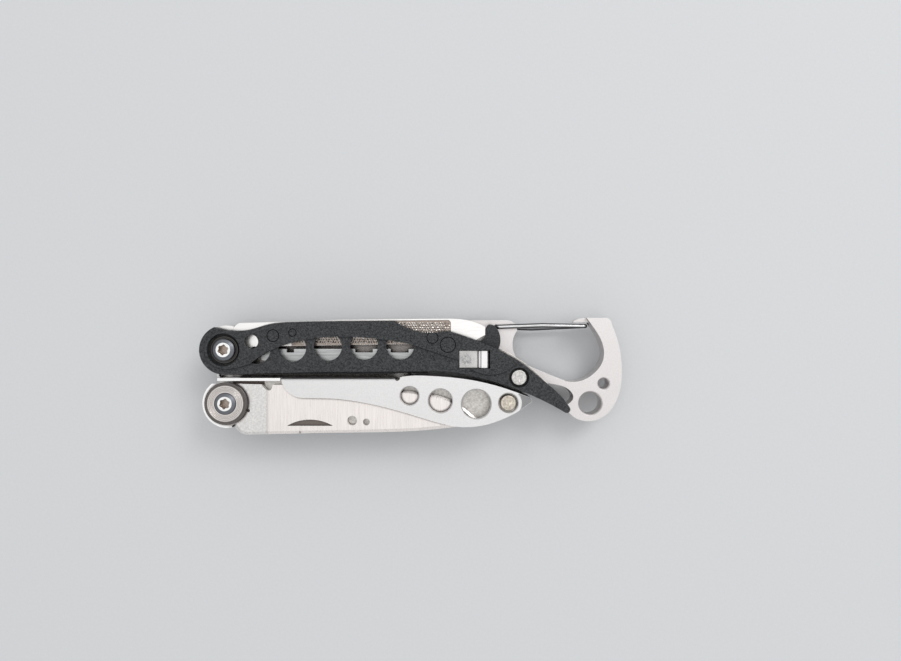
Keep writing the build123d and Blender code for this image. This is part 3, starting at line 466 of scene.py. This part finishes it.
# Washer tones: the metal, and the fine dark rings turned in it.
PALE_WASHER, PALE_WASHER_RING = (0.80, 0.765, 0.74), (0.46, 0.42, 0.39)
DARK_WASHER, DARK_WASHER_RING = (0.17, 0.16, 0.155), (0.10, 0.09, 0.085)
SUNK_WASHER, SUNK_WASHER_RING = (0.09, 0.087, 0.084), (0.03, 0.028, 0.026)

LOOKS = {
    "black": black_nylon(),
    "carabiner": carabiner_steel(),
    "silver": silver_steel(),
    "tip": tip_steel(),
    "sheet": brushed_steel("sheet_steel", (0.60, 0.56, 0.53), "x", reach=2.0),
    "tine": brushed_steel(
        "tweezers_steel", (0.56, 0.565, 0.565), "x", reach=0.6,
        lines_per_mm=3.0, rough=0.36, groove=0.55,
    ),
    "knife": knife_steel(),
    "scissor": brushed_steel("scissor_steel", (0.60, 0.59, 0.58), "y", reach=1.6),
    "file": file_steel(),
    "teeth": brushed_steel(
        "file_tooth_steel", (0.68, 0.61, 0.55), "y", reach=0.3,
        lines_per_mm=3.0, rough=0.3, groove=0.4,
    ),
    "wire": wire_steel(),
    "spring": spring_plate(),
    "rivet": rivet_steel("rivet_steel", (0.70, 0.68, 0.65)),
    "lower_rivet": rivet_steel("lower_rivet_steel", (0.66, 0.60, 0.51)),
    "upper_screw": screw_steel("upper_screw_steel", UPPER_PIVOT, UPPER_SCREW_TOP_MM),
    "lower_screw": screw_steel("lower_screw_steel", LOWER_PIVOT, LOWER_SCREW_TOP_MM),
    "lower_washer": washer_steel("washer_steel", LOWER_PIVOT, PALE_WASHER, PALE_WASHER_RING),
    "lower_dark": washer_steel("lower_dark_steel", LOWER_PIVOT, DARK_WASHER, DARK_WASHER_RING),
    "upper_dark": washer_steel("upper_dark_steel", UPPER_PIVOT, SUNK_WASHER, SUNK_WASHER_RING),
}

# Each CAD node's look, and the width in millimetres of the rounding on its sharp edges.
NODE_LOOKS = {
    "upper_front_scale": ("black", 0.22),
    "upper_back_scale": ("black", 0.22),
    "tweezers_cap": ("black", 0.22),
    "carabiner_plate": ("carabiner", 0.22),
    "lower_front_channel": ("silver", 0.14),
    "lower_back_scale": ("silver", 0.2),
    "lower_end_block": ("tip", 0.12),
    "upper_front_liner": ("sheet", 0.08),
    "upper_back_liner": ("sheet", 0.08),
    "lower_back_liner": ("sheet", 0.08),
    "upper_spine_spacer": ("sheet", 0.08),
    "spine_rivets": ("rivet", 0.05),
    "upper_pivot_sleeve": ("upper_dark", 0.06),
    "upper_pivot_screw": ("upper_screw", 0.06),
    "upper_pivot_washer": ("upper_dark", 0.05),
    "upper_rivet": ("rivet", 0.05),
    "retaining_spring": ("spring", 0.08),
    "wire_gate": ("wire", 0),
    "tweezers_front_tine": ("tine", 0.06),
    "tweezers_back_tine": ("tine", 0.06),
    "file_screwdriver": ("file", 0.12),
    "scissor_blade_a": ("scissor", 0.1),
    "scissor_blade_b": ("scissor", 0.1),
    "scissor_pivot_pin": ("scissor", 0.06),
    "scissor_spring": ("scissor", 0),
    "lower_rivet": ("lower_rivet", 0.05),
    "lower_pivot_sleeve": ("lower_dark", 0.06),
    "lower_pivot_screw": ("lower_screw", 0.06),
    "lower_pivot_washer": ("lower_washer", 0.05),
    "lower_spacer_washer": ("lower_dark", 0.05),
    "knife_blade": ("knife", 0.1),
}

# Points closer than the weld's reach are joined before the edges are rounded. The carabiner's
# nose tongue meets the plate in thin slivers, so that plate takes a longer reach.
WELD_REACH_MM = {"carabiner_plate": 0.1}
WELD_REACH_ELSEWHERE_MM = 0.001
# Faces that lean less than FLAT_ANGLE are merged, and edges over SHARP_ANGLE are rounded.
FLAT_ANGLE = math.radians(0.4)
SHARP_ANGLE = math.radians(40)


def dress(name, look, edge_mm):
    """Gives a CAD node its material and rounds its sharp edges."""
    node = nodes[name]
    if not node.data.materials:
        node.data.materials.append(LOOKS[look])
    for slot in node.material_slots:
        slot.material = LOOKS[look]
    if not edge_mm:
        return
    weld = node.modifiers.new("weld", "WELD")
    weld.merge_threshold = WELD_REACH_MM.get(name, WELD_REACH_ELSEWHERE_MM) * MM
    flat = node.modifiers.new("flat", "DECIMATE")
    flat.decimate_type = "DISSOLVE"
    flat.angle_limit = FLAT_ANGLE
    bevel = node.modifiers.new("bevel", "BEVEL")
    bevel.width = edge_mm * MM
    bevel.segments = 3
    bevel.limit_method = "ANGLE"
    bevel.angle_limit = SHARP_ANGLE
    bevel.harden_normals = True


for name, (look, edge_mm) in NODE_LOOKS.items():
    dress(name, look, edge_mm)


# ==== file teeth, in millimetres ====
TOOTH_PITCH = 0.46
TOOTH_ROW_STEP = TOOTH_PITCH * 0.92
TOOTH_ROWS = 11
TOOTH_COLUMNS = 62
FIRST_TOOTH_X = -21.9
FIRST_TOOTH_Y = 5.35
TEETH_LEFT = -21.8
TEETH_RIGHT = 6.55
TOOTH_BASE_Z = 7.82
TOOTH_HEIGHT = 0.13
TOOTH_HALF_WIDTH = TOOTH_PITCH * 0.52
TOOTH_SLANT = 0.096
TEETH_BOTTOM = 6.1
TEETH_BOTTOM_SLOPE = 0.014
TEETH_TOP = 9.9
TEETH_TOP_X = 6.0
TEETH_TOP_SLOPE = 0.011


def in_bed(x, y):
    """True where a tooth stands inside the file's bed, whose long sides slope a little."""
    lower = TEETH_BOTTOM + TEETH_BOTTOM_SLOPE * x
    upper = TEETH_TOP - TEETH_TOP_SLOPE * abs(x - TEETH_TOP_X)
    return TEETH_LEFT < x < TEETH_RIGHT and lower < y < upper


def add_tooth(shape, x, y, dice):
    """Adds one small closed pyramid with a slanted four-sided base and an uneven tip."""
    peak = TOOTH_BASE_Z + TOOTH_HEIGHT + dice.uniform(-0.03, 0.02)
    lean = dice.uniform(-0.05, 0.05)
    half = TOOTH_HALF_WIDTH
    ring = [
        (x - half, y - TOOTH_SLANT),
        (x, y - half),
        (x + half, y + TOOTH_SLANT),
        (x, y + half),
    ]
    base = [shape.verts.new((px * MM, py * MM, TOOTH_BASE_Z * MM)) for px, py in ring]
    tip = shape.verts.new(((x + lean) * MM, (y + lean) * MM, peak * MM))
    for index in range(4):
        shape.faces.new((base[index], base[(index + 1) % 4], tip))
    shape.faces.new(base[::-1])


def file_teeth():
    """Staggered rows of small pointed teeth in the file's shallow bed."""
    dice = random.Random(7)
    shape = bmesh.new()
    for row in range(TOOTH_ROWS):
        y = FIRST_TOOTH_Y + row * TOOTH_ROW_STEP
        for column in range(TOOTH_COLUMNS):
            x = FIRST_TOOTH_X + column * TOOTH_PITCH + (row % 2) * TOOTH_PITCH / 2
            if in_bed(x, y):
                add_tooth(shape, x, y, dice)
    mesh = bpy.data.meshes.new("file_teeth")
    shape.to_mesh(mesh)
    shape.free()
    teeth = bpy.data.objects.new("file_teeth", mesh)
    bpy.context.scene.collection.objects.link(teeth)
    mesh.materials.append(LOOKS["teeth"])
    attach(teeth, "file")


file_teeth()


# ==== stage, light and camera ====
def floor():
    """A plain pale floor just under the tool, in metres."""
    reach = 0.6
    height = -0.02 * MM
    mesh = bpy.data.meshes.new("floor")
    corners = [(-reach, -reach), (reach, -reach), (reach, reach), (-reach, reach)]
    mesh.from_pydata([(x, y, height) for x, y in corners], [], [(0, 1, 2, 3)])
    ground = bpy.data.objects.new("floor", mesh)
    bpy.context.scene.collection.objects.link(ground)
    look = Look("floor_paper", 0.0, 0.8)
    tooth = look.noise(2.0, detail=3.0)
    look.colour(look.mix(tooth, (0.56, 0.57, 0.58), (0.60, 0.61, 0.62)))
    look.bump(tooth, 0.02, 0.3)
    mesh.materials.append(look.material)


def softbox(name, place, size, watts):
    """A square area light that faces the tool, with its place and size in metres."""
    light = bpy.data.lights.new(name, "AREA")
    light.size = size
    light.energy = watts
    lamp = bpy.data.objects.new(name, light)
    lamp.location = place
    lamp.rotation_euler = (-Vector(place)).to_track_quat("-Z", "Y").to_euler()
    bpy.context.scene.collection.objects.link(lamp)


# How bright the surroundings are at each height: 0 is level or below and 1 is straight up.
SKY_LEVELS = [(0.0, 0.5), (0.08, 0.9), (0.4, 1.3), (0.7, 1.25), (0.9, 0.9), (1.0, 0.76)]
SKY_TINT = (0.985, 0.99, 1.0)
SKY_STRENGTH = 0.72


def world():
    """Soft light from all round: brightest part way up, a little dimmer overhead."""
    sky = bpy.data.worlds.new("studio")
    sky.use_nodes = True
    tree = sky.node_tree
    background = tree.nodes["Background"]
    direction = tree.nodes.new("ShaderNodeTexCoord").outputs["Generated"]
    split = tree.nodes.new("ShaderNodeSeparateXYZ")
    tree.links.new(direction, split.inputs[0])
    ramp = tree.nodes.new("ShaderNodeValToRGB")
    ramp.color_ramp.elements[0].position = SKY_LEVELS[0][0]
    ramp.color_ramp.elements[1].position = SKY_LEVELS[-1][0]
    for height, _ in SKY_LEVELS[1:-1]:
        ramp.color_ramp.elements.new(height)
    for element, (_, level) in zip(ramp.color_ramp.elements, SKY_LEVELS):
        element.color = (*(level * tint for tint in SKY_TINT), 1)
    tree.links.new(split.outputs["Z"], ramp.inputs["Fac"])
    tree.links.new(ramp.outputs["Color"], background.inputs["Color"])
    background.inputs["Strength"].default_value = SKY_STRENGTH
    bpy.context.scene.world = sky


EYE_MM = (6.635, 8.29, 125)
LENS_MM = 25.97
SENSOR_MM = 36.0


def camera():
    """The camera, straight above the tool and close to it."""
    data = bpy.data.cameras.new("camera")
    data.sensor_width = SENSOR_MM
    data.lens = LENS_MM
    data.clip_start = 0.005
    eye = bpy.data.objects.new("camera", data)
    eye.location = [length * MM for length in EYE_MM]
    bpy.context.scene.collection.objects.link(eye)
    bpy.context.scene.camera = eye


floor()
world()
softbox("top", (0.05, 0.1, 0.7), 0.8, 1.2)
softbox("key", (0.3, 0.35, 0.45), 0.25, 1.1)
camera()
bpy.context.scene.view_settings.view_transform = "Standard"
